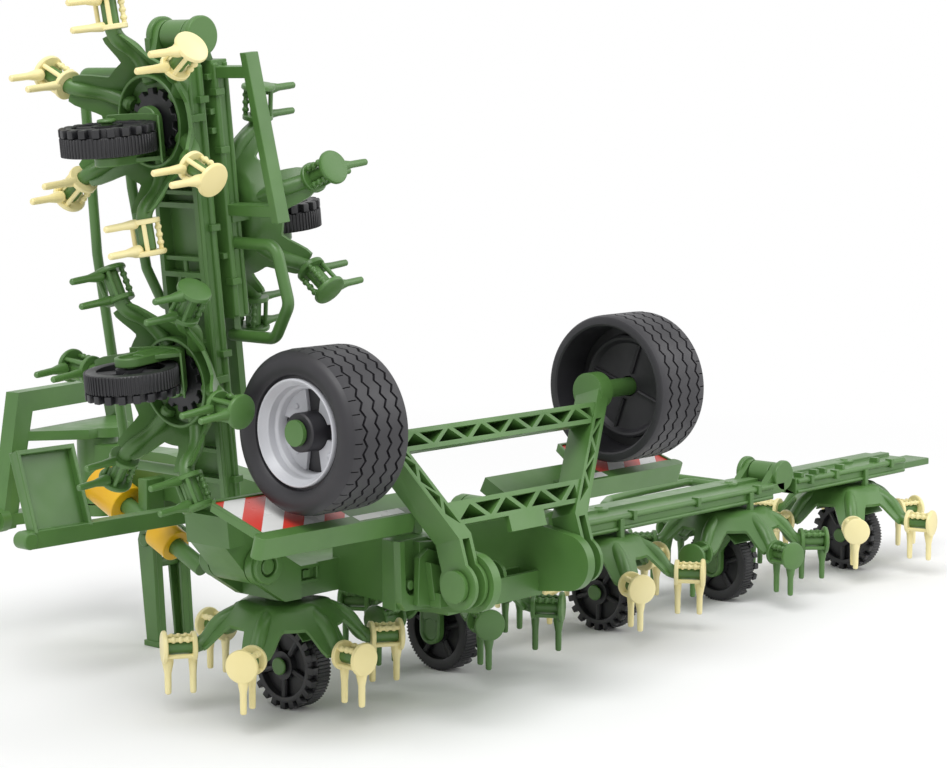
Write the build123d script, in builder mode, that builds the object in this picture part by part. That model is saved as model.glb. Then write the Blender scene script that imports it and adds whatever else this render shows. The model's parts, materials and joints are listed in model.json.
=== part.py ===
from build123d import *
import os
from math import cos, sin, radians

# Toy trailed rotary tedder, eight rotors wide, in millimetres.
# X is to the right, Y forward to the drawbar, Z up from the floor. The rotors stand on the line Y = 0.
# The left wing rests folded up with its tip folded over, the right wing lies in its working place.

# Rotor line. Each row of the table: side of the wheel that the strut stands on, turn of the first arm.
pitch = 69.0
rotor_table = [(-1, 51.0), (1, 54.0), (-1, 36.0), (1, 27.0), (-1, 2.0), (1, 3.0), (-1, 16.0), (1, 42.0)]

# Ground wheel under each rotor
wheel_r = 12.4
wheel_w = 7.4
wheel_tooth_w = 2.2
wheel_tooth_depth = 1.9
wheel_teeth = 20
wheel_dish_r = 9.0
wheel_dish_depth = 2.2
wheel_hub_r = 4.0
wheel_offset = 3.0
axle_r = 1.5
axle_cap_r = 2.5
axle_cap_t = 0.9

# Strut: centre pin, plate over the wheel, leg down one side of it
running_gap = 0.6
strut_t = 2.4
strut_w = 8.0
strut_recess = 0.8
strut_rim = 1.2
pin_r = 2.4

# Crown gear, dome and arms
gear_r = 8.4
gear_root_r = 6.9
gear_t = 1.8
gear_teeth = 12
gear_tooth_w = 2.0
dome_top_z = 32.0
dome_t = 1.2
dome_boss_r = 5.0
dome_boss_h = 0.5
dome_shoulder_r = 13.0
dome_shoulder_drop = 1.6
dome_rim_r = 23.0
dome_rim_drop = 8.4
dome_waist_r = 17.5
lobe_w = 10.0
arm_count = 6
arm_r = 2.1
arm_start = (12.4, 27.9)
arm_knee = (18.5, 25.5)
arm_foot_r = 22.2
arm_bend = 4.0

# Tine holder at the end of each arm: cap, ring, bars between them and two tines
holder_z = 19.4
holder_inner_r = 24.4
holder_outer_r = 34.0
cap_r = 4.6
cap_t = 1.4
ring_r = 4.1
ring_t = 1.3
bar_w = 1.2
bar_turns = (45, 135, 225, 315)
tine_r = 0.95
tine_low_z = 6.2

# Fits, as radial clearance
pin_fit = 0.06
seat_fit = 0.03

# Beams over the rotors
beam_bottom = 33.0
beam_h = 5.4
beam_w = 17.0
beam_wall = 1.6
beam_ridge_w = 4.0
beam_ridge_h = 1.0
rib_t = 1.4
rotor_pad_r = 6.0
beam_top = beam_bottom + beam_h

# Wing and tip hinges, which turn about Y
wing_hinge_x = 50.3
wing_hinge_z = 44.0
wing_fold = 84.0
knuckle_r = 5.4
knuckle_w = 14.0
ear_t = 2.6
ear_gap = 0.4
hinge_pin_r = 2.0
wing_start_x = 57.5
wing_neck_x = 66.0
wing_end_x = 186.6
tip_hinge_x = 193.2
tip_hinge_z = beam_top + 1.8
tip_fold = 180.0
tip_knuckle_r = 4.2
tip_knuckle_w = 8.0
tip_start_x = 2 * tip_hinge_x - wing_end_x
tip_end_x = 268.0
tip_bar_end_x = 290.0
tip_bar_w = 10.0
tip_bar_t = 2.4

# Guard tubes in front of each wing, as corners: out from the middle, forward
guard_z = 36.5
guard_tube_r = 1.4
guard_bend = 2.5
front_guard = [(76.0, beam_w / 2), (76.0, 34.3), (134.5, 38.7), (184.0, 37.0), (184.0, beam_w / 2)]
inner_guard = [(122.0, beam_w / 2), (122.0, 13.0), (131.5, 18.5), (153.3, 21.3), (180.0, 22.0), (180.0, beam_w / 2)]

# Guard behind the left tip: a bent tube at its end and a flat bar
hoop_tube_r = 1.6
hoop_z = 35.7
hoop_bend = 4.0
hoop_corners = [(248.0, beam_w / 2 - 1), (248.0, 24.0), (263.5, 27.2), (273.0, 20.9), (273.0, tip_bar_w / 2 - 1)]
guard_bar = [(198.0, 19.0), (242.0, 25.6)]
guard_bar_t = 2.4
guard_bar_h = 4.4
guard_bar_arms_x = (203.0, 239.0)
guard_arm_w = 3.0

# Centre frame: cross beam between the wings, two cheeks back to the chassis pivot
frame_end_x = 43.0
frame_top = 42.0
cheek_in_x = 18.0
cheek_t = 3.0
cheek_tail_r = 8.0
rear_member_y = -44.0
rear_member_w = 9.0
rear_member_z = 31.0
rear_member_h = 7.0
rear_member_wall = 1.6
rear_rib_x = (-2.3, 4.3)
rear_rib_r = 4.2
rear_rib_t = 1.3

# Transport chassis: pivots behind the frame, its legs splay to the wheels
chassis_y = -58.4
chassis_z = 41.4
chassis_lean = 17.7
chassis_reach = 46.4
chassis_pin_r = 3.0
chassis_head_t = 1.4
chassis_head_r = 4.4
chassis_lug_r = 6.5
chassis_gap = 0.5
leg_t = 5.0
leg_w = 9.0
leg_straight = 13.0
leg_end_x = 49.0
leg_end_r = 5.4
# each lattice beam: where it starts and ends along the legs, and its number of bays
lattice_table = [(15.6, 22.0, 7), (37.0, 42.8, 12)]
lattice_depth = 8.0
lattice_wall = 1.3
# pockets in the back of each leg, up from the bend, and the channel below the bend
leg_wall = 1.2
leg_pocket_from = 15.0
leg_pocket_to = 38.5
leg_pocket_bays = 5
leg_pocket_depth = 6.5
leg_channel_depth = 4.5
# plate that hangs from the lower lattice beam: left and right edge, drop
hanger_x = (-5.0, 9.5)
hanger_drop = 4.4
hanger_t = 1.6

# Transport wheels
tyre_r = 21.5
tyre_w = 21.0
tyre_x = 62.5
tyre_shoulder = 3.0
tyre_groove_w = 1.2
tyre_groove_depth = 0.9
tyre_groove_y = (-4.5, 0.0, 4.5)
tyre_wall = 3.2
rim_r = 13.9
rim_t = 1.6
rim_depth = 9.0
rim_web_t = 1.8
rim_web_from_face = 6.0
hub_r = 5.0
hub_w = 7.0
stub_r = 2.6
stub_cap_r = 3.4
stub_cap_t = 1.2

# Warning boards behind, each on a carrier with the same tilt
board_in_x = 30.0
board_out_x = 73.5
board_rear_y = -43.5
board_rear_z = 57.0
board_tilt = 26.0
board_w = 22.8
board_t = 2.0
board_beam_t = 3.4
board_beam_h = 5.6
board_beam_corner = 1.6
board_beam_past = 1.5
board_edge_t = 1.6
board_edge_h = 3.0
carrier_w = 9.0
carrier_h = 4.6

# Front boards, each on an arm from the drawbar
front_y = 65.0
front_t = 2.4
front_in_x = 57.0
front_out_x = 84.0
front_low_z = 43.0
front_high_z = 71.0
front_corner = 7.0
front_border = 2.0
front_border_h = 1.2
front_arm_z = 44.5
front_arm_h = 5.6
front_arm_w = 5.0

# Drawbar with the swivel barrel at its front. The side outline goes round from the frame.
drawbar_half_w = 5.0
drawbar_outline = [(33.0, 8.5), (38.0, 46.0), (46.0, 80.0), (44.0, 118.0), (60.0, 118.0), (60.5, 82.0),
                   (55.0, 34.0), (46.0, 8.5)]
swivel_y = 121.0
swivel_r = 6.5
swivel_low = 41.0
swivel_high = 62.0
swivel_pin_r = 3.0
swivel_gap = 0.4

# Headstock: portal with a swivel plate over and a tie under the barrel
head_yaw = 12.0
head_y = 9.0
head_t = 5.0
head_foot_half = 36.0
head_top_half = 27.0
head_low = 36.0
head_high = 78.0
head_leg_w = 6.5
head_plate_t = 3.0
head_tie_t = 3.6
link_pin_r = 2.5
link_pin_l = 8.0
link_boss_r = 3.8
link_boss_out = 0.8

# Stand, which pivots under the drawbar
stand_y = 90.0
stand_z = 33.0
stand_lug_r = 4.2
stand_lug_half_w = 3.0
stand_pin_r = 1.8
stand_in_x = 9.0
stand_leg_t = 5.0
stand_leg_top = 7.0
stand_leg_low = 4.6
stand_foot_y = 87.0
stand_foot_l = 7.0
stand_foot_t = 1.6
stand_bar_drop = 11.0
stand_bar_r = 1.6

# Drive line beside the drawbar, with two guards on it
drive_x = -12.2
drive_rear = (58.0, 29.0)
drive_front = (105.0, 50.0)
drive_r = 2.6
guard_r = 6.2
guard_front_l = 14.0
guard_rear_r = 5.0
guard_rear_l = 9.0
guard_rear_at = 13.0
drive_bracket_at = 0.58
drive_bracket_w = 4.0
drive_bracket_h = 12.0

# Ram of the chassis, fixed between the cross beam and the rear member
chassis_ram_r = 3.8
chassis_ram_z = 36.0

os.makedirs("parts", exist_ok=True)
pieces = []


def keep(part, name):
    """Name a finished piece and put it on the list."""
    part.label = name
    pieces.append(part)


def wing_folded(part):
    """Turn a piece of the left wing up about the wing hinge."""
    return part.rotate(Axis((-wing_hinge_x, 0, wing_hinge_z), (0, 1, 0)), wing_fold)


def tip_folded(part):
    """Turn a piece of the left tip over about the tip hinge, and then up with the wing."""
    return wing_folded(part.rotate(Axis((-tip_hinge_x, 0, tip_hinge_z), (0, 1, 0)), tip_fold))


def side_plane(x, side=1):
    """A plane at x that looks along +X or -X, its first axis forward."""
    return Plane(origin=(x, 0, 0), x_dir=(0, side, 0), z_dir=(side, 0, 0))


# Arm of a rotor, and the tine holder on its end, both along +X
with BuildPart() as arm:
    with BuildLine() as arm_path:
        FilletPolyline(
            (arm_start[0], 0, arm_start[1]),
            (arm_knee[0], 0, arm_knee[1]),
            (arm_foot_r, 0, holder_z),
            (holder_outer_r - cap_t, 0, holder_z),
            radius=arm_bend,
        )
    with BuildSketch(arm_path.line ^ 0):
        Circle(arm_r)
    sweep()

with BuildPart() as holder:
    with BuildSketch(Plane.YZ.offset(holder_outer_r - cap_t)):
        with Locations((0, holder_z)):
            Circle(cap_r)
    extrude(amount=cap_t)
    with BuildSketch(Plane.YZ.offset(holder_inner_r)):
        with Locations((0, holder_z)):
            Circle(ring_r)
            Circle(arm_r + seat_fit, mode=Mode.SUBTRACT)
    extrude(amount=ring_t)
    with BuildSketch(Plane.YZ.offset(holder_inner_r)):
        with Locations((0, holder_z)):
            for turn in bar_turns:
                with PolarLocations(ring_r - bar_w / 2 - 0.2, 1, start_angle=turn):
                    Rectangle(bar_w, bar_w)
    extrude(amount=holder_outer_r - cap_t - holder_inner_r)
    with BuildSketch(Plane.XY.offset(tine_low_z)):
        with Locations((holder_inner_r + tine_r, 0), (holder_outer_r - tine_r, 0)):
            RegularPolygon(tine_r, 6)
    extrude(amount=holder_z - tine_low_z - arm_r - 0.6)

# Dome: a thin shell with a lobe over each arm
lobe_angles = [k * 360 / arm_count for k in range(arm_count)]
with BuildPart() as dome:
    with BuildSketch(Plane.XZ):
        with BuildLine():
            Polyline(
                (0, dome_top_z),
                (dome_boss_r + 1, dome_top_z),
                (dome_shoulder_r, dome_top_z - dome_shoulder_drop),
                (dome_rim_r, dome_top_z - dome_rim_drop),
                (dome_rim_r, dome_top_z - dome_rim_drop - dome_t),
                (dome_shoulder_r, dome_top_z - dome_shoulder_drop - dome_t),
                (dome_boss_r + 1, dome_top_z - dome_t),
                (0, dome_top_z - dome_t),
                close=True,
            )
        make_face()
    revolve(axis=Axis.Z)
    with BuildSketch():
        Circle(dome_waist_r)
        for lobe in lobe_angles:
            with Locations(Location((0, 0, 0), (0, 0, lobe))):
                with Locations((dome_rim_r / 2, 0)):
                    Rectangle(dome_rim_r, lobe_w)
    extrude(amount=2 * dome_top_z, mode=Mode.INTERSECT)

# Rotors with their ground wheels, counted from the left tip
plate_z = 2 * wheel_r + running_gap
plate_top = plate_z + strut_t
gear_z = plate_top + running_gap
gear_top = gear_z + gear_t
leg_x = wheel_offset + wheel_w / 2 + running_gap
for i, (side, first_arm) in enumerate(rotor_table):
    x = (i - (len(rotor_table) - 1) / 2) * pitch
    rest = tip_folded if x < -tip_hinge_x else wing_folded if x < -wing_hinge_x else (lambda part: part)
    number = i + 1

    with BuildPart() as rotor:
        with Locations(Location((x, 0, 0), (0, 0, first_arm))):
            add(dome.part)
            with PolarLocations(0, arm_count):
                add(arm.part)
        with Locations((x, 0, gear_top)):
            Cylinder(dome_boss_r, dome_top_z + dome_boss_h - gear_top, align=(Align.CENTER, Align.CENTER, Align.MIN))
            Cylinder(
                pin_r + pin_fit,
                dome_top_z,
                align=(Align.CENTER, Align.CENTER, Align.MIN),
                mode=Mode.SUBTRACT,
            )
    keep(rest(rotor.part), f"rotor_{number}")

    with BuildPart() as tines:
        with Locations(Location((x, 0, 0), (0, 0, first_arm))):
            with PolarLocations(0, arm_count):
                add(holder.part)
    keep(rest(tines.part), f"tines_{number}")

    with BuildPart() as gear:
        with BuildSketch(Plane.XY.offset(gear_z)):
            with Locations((x, 0)):
                Circle(gear_root_r)
                with PolarLocations(gear_r / 2, gear_teeth, start_angle=first_arm):
                    Rectangle(gear_r, gear_tooth_w)
                Circle(pin_r + pin_fit, mode=Mode.SUBTRACT)
        extrude(amount=gear_t)
    keep(rest(gear.part), f"gear_{number}")

    toothed_face = x + side * (wheel_offset - wheel_w / 2)
    with BuildPart() as ground_wheel:
        with BuildSketch(side_plane(toothed_face, side)):
            with Locations((0, wheel_r)):
                Circle(wheel_r)
                with PolarLocations(wheel_r, wheel_teeth):
                    Rectangle(2 * wheel_tooth_depth, wheel_tooth_depth, mode=Mode.SUBTRACT)
        extrude(amount=wheel_tooth_w)
        with BuildSketch(side_plane(toothed_face + side * wheel_tooth_w, side)):
            with Locations((0, wheel_r)):
                Circle(wheel_r)
        extrude(amount=wheel_w - wheel_tooth_w)
        for face, inward in ((toothed_face, side), (toothed_face + side * wheel_w, -side)):
            with BuildSketch(side_plane(face, inward)):
                with Locations((0, wheel_r)):
                    Circle(wheel_dish_r)
                    Circle(wheel_hub_r, mode=Mode.SUBTRACT)
            extrude(amount=wheel_dish_depth, mode=Mode.SUBTRACT)
        with BuildSketch(side_plane(toothed_face, side)):
            with Locations((0, wheel_r)):
                Circle(axle_r + pin_fit)
        extrude(amount=wheel_w, mode=Mode.SUBTRACT)
    keep(rest(ground_wheel.part), f"ground_wheel_{number}")

    leg_face = x + side * leg_x
    with BuildPart() as strut:
        with Locations((x, 0, plate_z)):
            Cylinder(pin_r, beam_bottom - plate_z, align=(Align.CENTER, Align.CENTER, Align.MIN))
            Cylinder(strut_w / 2, strut_t, align=(Align.CENTER, Align.CENTER, Align.MIN))
        with Locations((x + side * (leg_x + strut_t) / 2, 0, plate_z)):
            Box(leg_x + strut_t, strut_w, strut_t, align=(Align.CENTER, Align.CENTER, Align.MIN))
        with BuildSketch(side_plane(leg_face, side)):
            with Locations((0, (wheel_r + plate_top) / 2)):
                Rectangle(strut_w, plate_top - wheel_r)
            with Locations((0, wheel_r)):
                Circle(strut_w / 2)
        extrude(amount=strut_t)
        with BuildSketch(side_plane(leg_face + side * strut_t, -side)):
            with Locations((0, (wheel_r + plate_z) / 2)):
                Rectangle(strut_w - 2 * strut_rim, plate_z - wheel_r)
            with Locations((0, wheel_r)):
                Circle(strut_w / 2 - strut_rim)
        extrude(amount=strut_recess, mode=Mode.SUBTRACT)
        with BuildSketch(side_plane(leg_face, -side)):
            with Locations((0, wheel_r)):
                Circle(axle_r)
        extrude(amount=wheel_w + 2 * running_gap)
        with BuildSketch(side_plane(toothed_face - side * running_gap, -side)):
            with Locations((0, wheel_r)):
                Circle(axle_cap_r)
        extrude(amount=axle_cap_t)
    keep(rest(strut.part), f"strut_{number}")


def channel(x_from, x_to, rotors, side):
    """A beam open below, with ribs, a ridge on top and a pad over each rotor's pin."""
    middle = side * (x_from + x_to) / 2
    with Locations((middle, 0, beam_bottom)):
        Box(x_to - x_from, beam_w, beam_h, align=(Align.CENTER, Align.CENTER, Align.MIN))
        Box(
            x_to - x_from - 2 * beam_wall,
            beam_w - 2 * beam_wall,
            beam_h - beam_wall,
            align=(Align.CENTER, Align.CENTER, Align.MIN),
            mode=Mode.SUBTRACT,
        )
    with Locations((middle, 0, beam_top)):
        Box(x_to - x_from, beam_ridge_w, beam_ridge_h, align=(Align.CENTER, Align.CENTER, Align.MIN))
    rib_count = round((x_to - x_from) / pitch * 4)
    with Locations((middle, 0, beam_bottom)):
        with GridLocations((x_to - x_from) / rib_count, 1, rib_count - 1, 1):
            Box(rib_t, beam_w - beam_wall, beam_h - beam_wall, align=(Align.CENTER, Align.CENTER, Align.MIN))
    with Locations(*[(side * rotor, 0, beam_bottom) for rotor in rotors]):
        Cylinder(rotor_pad_r, beam_h, align=(Align.CENTER, Align.CENTER, Align.MIN))


tip_ear_in = tip_knuckle_w / 2 + ear_gap
for side, name, rest_wing, rest_tip in (
    (-1, "left", wing_folded, tip_folded),
    (1, "right", lambda part: part, lambda part: part),
):
    with BuildPart() as wing:
        channel(wing_start_x, wing_end_x, (1.5 * pitch, 2.5 * pitch), side)
        with BuildSketch(Plane.XZ.offset(-knuckle_w / 2)):
            with BuildLine():
                Polyline(
                    (side * (wing_hinge_x - 2), wing_hinge_z + knuckle_r - 0.4),
                    (side * wing_neck_x, beam_top),
                    (side * wing_neck_x, beam_bottom),
                    (side * wing_start_x, beam_bottom),
                    (side * (wing_hinge_x - 4), wing_hinge_z - 3),
                    close=True,
                )
            make_face()
            with Locations((side * wing_hinge_x, wing_hinge_z)):
                Circle(knuckle_r)
                Circle(hinge_pin_r + pin_fit, mode=Mode.SUBTRACT)
        extrude(amount=knuckle_w)
        for ear_y in (tip_ear_in, -tip_ear_in - ear_t):
            with BuildSketch(Plane.XZ.offset(-ear_y - ear_t)):
                with BuildLine():
                    Polyline(
                        (side * (wing_end_x - beam_wall), beam_bottom),
                        (side * (wing_end_x - beam_wall), beam_top),
                        (side * (tip_hinge_x - 2), tip_hinge_z + tip_knuckle_r - 0.6),
                        (side * (tip_hinge_x + 2), tip_hinge_z - tip_knuckle_r + 0.4),
                        close=True,
                    )
                make_face()
                with Locations((side * tip_hinge_x, tip_hinge_z)):
                    Circle(tip_knuckle_r)
            extrude(amount=ear_t)
        with BuildSketch(Plane.XZ.offset(-tip_ear_in - ear_t / 2)):
            with Locations((side * tip_hinge_x, tip_hinge_z)):
                Circle(hinge_pin_r)
        extrude(amount=2 * tip_ear_in + ear_t)
    keep(rest_wing(wing.part), f"wing_{name}")

    with BuildPart() as wing_rails:
        for corners in (front_guard, inner_guard):
            with BuildLine() as tube_path:
                FilletPolyline(*[(side * out, forward, guard_z) for out, forward in corners], radius=guard_bend)
            with BuildSketch(tube_path.line ^ 0):
                Circle(guard_tube_r)
            sweep()
    keep(rest_wing(wing_rails.part), f"wing_rails_{name}")

    with BuildPart() as tip:
        channel(tip_start_x, tip_end_x, (3.5 * pitch,), side)
        with BuildSketch(Plane.XZ.offset(-tip_knuckle_w / 2)):
            with BuildLine():
                Polyline(
                    (side * (tip_hinge_x + 2), tip_hinge_z + tip_knuckle_r - 0.6),
                    (side * (tip_start_x + beam_wall), beam_top),
                    (side * (tip_start_x + beam_wall), beam_bottom),
                    (side * (tip_hinge_x - 1), tip_hinge_z - tip_knuckle_r + 0.2),
                    close=True,
                )
            make_face()
            with Locations((side * tip_hinge_x, tip_hinge_z)):
                Circle(tip_knuckle_r)
                Circle(hinge_pin_r + pin_fit, mode=Mode.SUBTRACT)
        extrude(amount=tip_knuckle_w)
        with Locations((side * (tip_end_x + tip_bar_end_x) / 2, 0, beam_bottom)):
            Box(
                tip_bar_end_x - tip_end_x,
                tip_bar_w,
                tip_bar_t,
                align=(Align.CENTER, Align.CENTER, Align.MIN),
            )
        if side < 0:
            with BuildLine() as hoop_path:
                FilletPolyline(*[(-out, -back, hoop_z) for out, back in hoop_corners], radius=hoop_bend)
            with BuildSketch(hoop_path.line ^ 0):
                Circle(hoop_tube_r)
            sweep()
            (bar_in_x, bar_in_y), (bar_out_x, bar_out_y) = guard_bar
            with BuildSketch(Plane.XY.offset(hoop_z - guard_bar_h / 2)):
                with BuildLine():
                    Polyline(
                        (-bar_in_x, -bar_in_y),
                        (-bar_out_x, -bar_out_y),
                        (-bar_out_x, -bar_out_y - guard_bar_t),
                        (-bar_in_x, -bar_in_y - guard_bar_t),
                        close=True,
                    )
                make_face()
                for arm_x in guard_bar_arms_x:
                    reach = bar_in_y + (bar_out_y - bar_in_y) * (arm_x - bar_in_x) / (bar_out_x - bar_in_x)
                    with Locations((-arm_x, -(reach + beam_w / 2) / 2)):
                        Rectangle(guard_arm_w, reach - beam_w / 2 + guard_bar_t)
            extrude(amount=guard_bar_h)
    keep(rest_tip(tip.part), f"tip_{name}")

# Centre frame, with the ears of the wing hinges, the cheeks and the board carriers
ear_in = knuckle_w / 2 + ear_gap
cheek_out_x = cheek_in_x + cheek_t
lean = radians(chassis_lean)
tilt = radians(board_tilt)
board_plane = Plane(
    origin=(0, board_rear_y, board_rear_z),
    x_dir=(1, 0, 0),
    z_dir=(0, -sin(tilt), cos(tilt)),
)
carrier_plane = board_plane.offset(-board_t)
with BuildPart() as main_frame:
    with Locations((0, 0, beam_bottom)):
        Box(2 * frame_end_x, beam_w, frame_top - beam_bottom, align=(Align.CENTER, Align.CENTER, Align.MIN))
    for side in (-1, 1):
        for ear_y in (ear_in, -ear_in - ear_t):
            with BuildSketch(Plane.XZ.offset(-ear_y - ear_t)):
                with BuildLine():
                    Polyline(
                        (side * (frame_end_x - 6), beam_bottom),
                        (side * (frame_end_x - 6), frame_top),
                        (side * (wing_hinge_x - 2), wing_hinge_z + knuckle_r - 0.4),
                        (side * (wing_hinge_x + 3), wing_hinge_z - knuckle_r + 1),
                        (side * frame_end_x, beam_bottom),
                        close=True,
                    )
                make_face()
                with Locations((side * wing_hinge_x, wing_hinge_z)):
                    Circle(knuckle_r)
            extrude(amount=ear_t)
        with BuildSketch(Plane.XZ.offset(-ear_in - ear_t / 2)):
            with Locations((side * wing_hinge_x, wing_hinge_z)):
                Circle(hinge_pin_r)
        extrude(amount=2 * ear_in + ear_t)
        with Locations((side * (frame_end_x - 3), 0, beam_bottom)):
            Box(
                6,
                2 * (ear_in + ear_t),
                frame_top - beam_bottom,
                align=(Align.CENTER, Align.CENTER, Align.MIN),
            )
        with BuildSketch(side_plane(side * cheek_in_x, side)):
            with BuildLine():
                Polyline(
                    (-side * 6, beam_bottom),
                    (-side * 6, frame_top + 8),
                    (-side * 28, frame_top + 12),
                    (side * chassis_y, chassis_z + cheek_tail_r),
                    (side * chassis_y, chassis_z - cheek_tail_r),
                    (-side * 40, rear_member_z),
                    close=True,
                )
            make_face()
            with Locations((side * chassis_y, chassis_z)):
                Circle(cheek_tail_r)
        extrude(amount=cheek_t)
        with BuildSketch(side_plane(side * cheek_out_x, side)):
            with Locations((side * chassis_y, chassis_z)):
                Circle(chassis_pin_r)
        extrude(amount=2 * chassis_gap + leg_t)
        with BuildSketch(side_plane(side * (cheek_out_x + 2 * chassis_gap + leg_t), side)):
            with Locations((side * chassis_y, chassis_z)):
                Circle(chassis_head_r)
        extrude(amount=chassis_head_t)
        with BuildSketch(carrier_plane):
            with Locations((side * (cheek_in_x + board_out_x - 2) / 2, board_w / 2)):
                Rectangle(board_out_x - 2 - cheek_in_x, carrier_w)
        extrude(amount=-carrier_h)
        with Locations((side * (cheek_in_x + cheek_t / 2), board_rear_y + board_w / 2 * cos(tilt), frame_top)):
            Box(
                cheek_t,
                carrier_w,
                board_rear_z + board_w / 2 * sin(tilt) - board_t - carrier_h / 2 - frame_top,
                align=(Align.CENTER, Align.CENTER, Align.MIN),
            )
    with Locations((0, rear_member_y, rear_member_z)):
        Box(
            2 * cheek_in_x + cheek_t,
            rear_member_w,
            rear_member_h,
            align=(Align.CENTER, Align.CENTER, Align.MIN),
        )
    with Locations((0, rear_member_y, rear_member_z + rear_member_wall)):
        Box(
            2 * cheek_in_x,
            rear_member_w - 2 * rear_member_wall,
            rear_member_h,
            align=(Align.CENTER, Align.CENTER, Align.MIN),
            mode=Mode.SUBTRACT,
        )
    for rib_x in rear_rib_x:
        with BuildSketch(side_plane(rib_x - rear_rib_t / 2)):
            with Locations((rear_member_y, rear_member_z + rear_member_h)):
                Circle(rear_rib_r)
            with Locations((rear_member_y, rear_member_z + rear_member_h / 2)):
                Rectangle(rear_member_w - rear_member_wall, rear_member_h)
            with Locations((rear_member_y, rear_member_z - rear_rib_r)):
                Rectangle(2 * rear_rib_r, 2 * rear_rib_r, mode=Mode.SUBTRACT)
        extrude(amount=rear_rib_t)
keep(main_frame.part, "main_frame")

with BuildPart() as warning_boards:
    with BuildSketch(board_plane):
        with Locations(*[(side * (board_in_x + board_out_x) / 2, board_w / 2) for side in (-1, 1)]):
            RectangleRounded(board_out_x - board_in_x, board_w, 1.5)
    extrude(amount=-board_t)
    for side in (-1, 1):
        with BuildSketch(board_plane):
            with Locations((side * (board_out_x - board_edge_t / 2), board_w / 2)):
                Rectangle(board_edge_t, board_w - 2 * board_beam_corner)
        extrude(amount=-board_edge_h)
        with BuildSketch(board_plane):
            with Locations((side * (board_in_x + board_out_x + board_beam_past) / 2, 0)):
                RectangleRounded(board_out_x + board_beam_past - board_in_x, board_beam_t, board_beam_corner)
        extrude(amount=-board_beam_h)
keep(warning_boards.part, "warning_boards")

# Transport chassis, drawn in the plane of its legs, upright along the plane's second axis
chassis_plane = Plane(
    origin=(0, chassis_y, chassis_z),
    x_dir=(1, 0, 0),
    z_dir=(0, -cos(lean), sin(lean)),
)
lug_x = cheek_out_x + chassis_gap
leg_slope = (leg_end_x - leg_t - lug_x) / (chassis_reach - leg_straight)


def zigzag(corner, run, rise, bays):
    """Triangular openings in a row from a corner, with their points to one side and the other in turn."""
    for k in range(bays):
        base, tip = (corner, rise) if k % 2 == 0 else (corner + rise, -rise)
        base_end = 1.6 if k < bays - 1 else 0.9
        Polygon(
            base + run * (k + 0.2) / bays,
            base + run * (k + base_end) / bays,
            base + tip + run * (k + 0.9) / bays,
            align=None,
        )


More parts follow.
